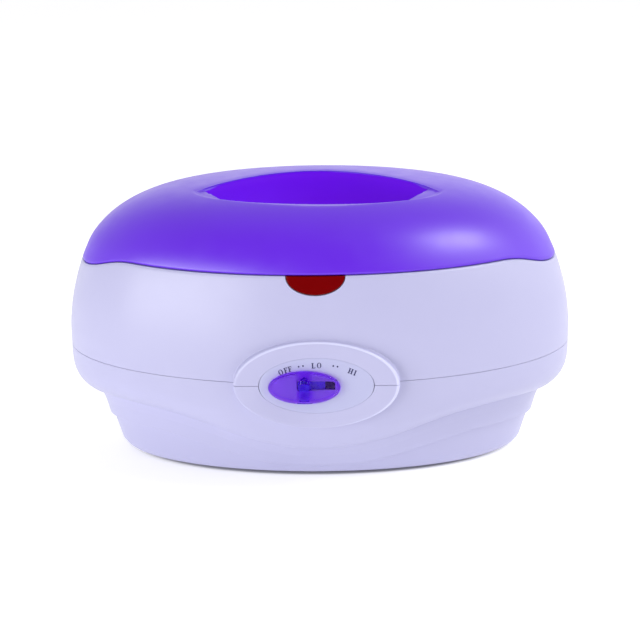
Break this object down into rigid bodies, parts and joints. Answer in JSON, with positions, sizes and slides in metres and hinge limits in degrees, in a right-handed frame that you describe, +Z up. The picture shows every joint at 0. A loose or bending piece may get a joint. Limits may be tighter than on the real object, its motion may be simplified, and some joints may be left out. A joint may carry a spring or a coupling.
{
  "type": "paraffin wax warmer",
  "caption": "Oval electric paraffin bath with a lift-off domed lid, a slide temperature control on a raised front panel and an indicator window.",
  "frame": {"origin": "on the surface the warmer stands on, under the middle of its oval housing", "axes": "+X to the user's right along the long side, +Y from the control panel to the back, +Z up"},
  "size_m": [0.36, 0.2436, 0.1972],
  "materials": {
    "housing_plastic": "satin",
    "lid_plastic": "satin",
    "plate_plastic": "fine matte",
    "knob_plastic": "clear, polished",
    "lens_plastic": "clear, polished",
    "inner_nylon": "moulded",
    "slider_nylon": "moulded",
    "gland_plastic": "moulded",
    "foot_rubber": "matte",
    "bath_aluminium": "anodised, satin",
    "sheet_aluminium": "mill",
    "gasket_silicone": "matte",
    "heater_sheath": "heat tinted",
    "zinc_steel": "zinc plated",
    "insulation_wool": "loose fibre",
    "brass": "satin",
    "phenolic": "moulded",
    "lamp_glass": "clear",
    "block_plastic": "moulded",
    "fuse_body": "glazed",
    "wire_brown": "extruded",
    "wire_blue": "extruded",
    "wire_green": "extruded"
  },
  "bodies": {
    "base_unit": {"upper_housing": "housing_plastic", "lower_housing": "housing_plastic", "indicator_lens": "lens_plastic", "cable_gland": "gland_plastic", "foot_front_left": "foot_rubber", "foot_front_right": "foot_rubber", "foot_rear_left": "foot_rubber", "foot_rear_right": "foot_rubber", "tie_screw_front_left": "zinc_steel", "tie_screw_front_right": "zinc_steel", "tie_screw_rear_left": "zinc_steel", "tie_screw_rear_right": "zinc_steel", "plate_nut_front_left": "zinc_steel", "plate_nut_front_right": "zinc_steel", "plate_nut_rear_left": "zinc_steel", "plate_nut_rear_right": "zinc_steel", "wax_tank": "bath_aluminium", "tank_gasket": "gasket_silicone", "heating_element": "heater_sheath", "press_plate": "sheet_aluminium", "heat_shield": "sheet_aluminium", "insulation_pad": "insulation_wool", "control_plate": "plate_plastic", "slider_guide": "inner_nylon", "guide_screw_left": "zinc_steel", "guide_screw_right": "zinc_steel", "thermostat_body": "phenolic", "thermostat_bracket": "zinc_steel", "bracket_nut": "zinc_steel", "bimetal_blade": "brass", "thermostat_tab_left": "brass", "thermostat_tab_right": "brass", "indicator_lamp": "lamp_glass", "lamp_holder": "phenolic", "terminal_block": "block_plastic", "terminal_screw": "zinc_steel", "earth_tag": "brass", "thermal_fuse": "fuse_body", "fuse_clip": "zinc_steel", "live_wire": "wire_brown", "neutral_wire": "wire_blue", "thermostat_wire": "wire_brown", "heater_wire": "wire_brown", "earth_wire": "wire_green", "lamp_wire_left": "wire_brown", "lamp_wire_right": "wire_blue"},
    "lid": {"lid": "lid_plastic"},
    "temperature_slider": {"slider_knob": "knob_plastic", "slider_carriage": "slider_nylon"},
    "spindle": {"thermostat_spindle": "brass", "spindle_pinion": "brass"}
  },
  "joints": [
    {"name": "lid_lift", "type": "slide", "parent": "base_unit", "child": "lid", "axis": [0, 0, 1], "range_m": [0, 0.15]},
    {"name": "temperature_slide", "type": "slide", "parent": "base_unit", "child": "temperature_slider", "axis": [1, 0, 0], "range_m": [0, 0.016]},
    {"name": "spindle_turn", "type": "hinge", "parent": "base_unit", "child": "spindle", "pos_m": [0, -0.096, 0.056], "axis": [0, 1, 0], "range_deg": [0, 150]}
  ],
  "couplings": [
    {"joint": "spindle_turn", "follows": "temperature_slide", "rad_per_m": 148.15}
  ]
}
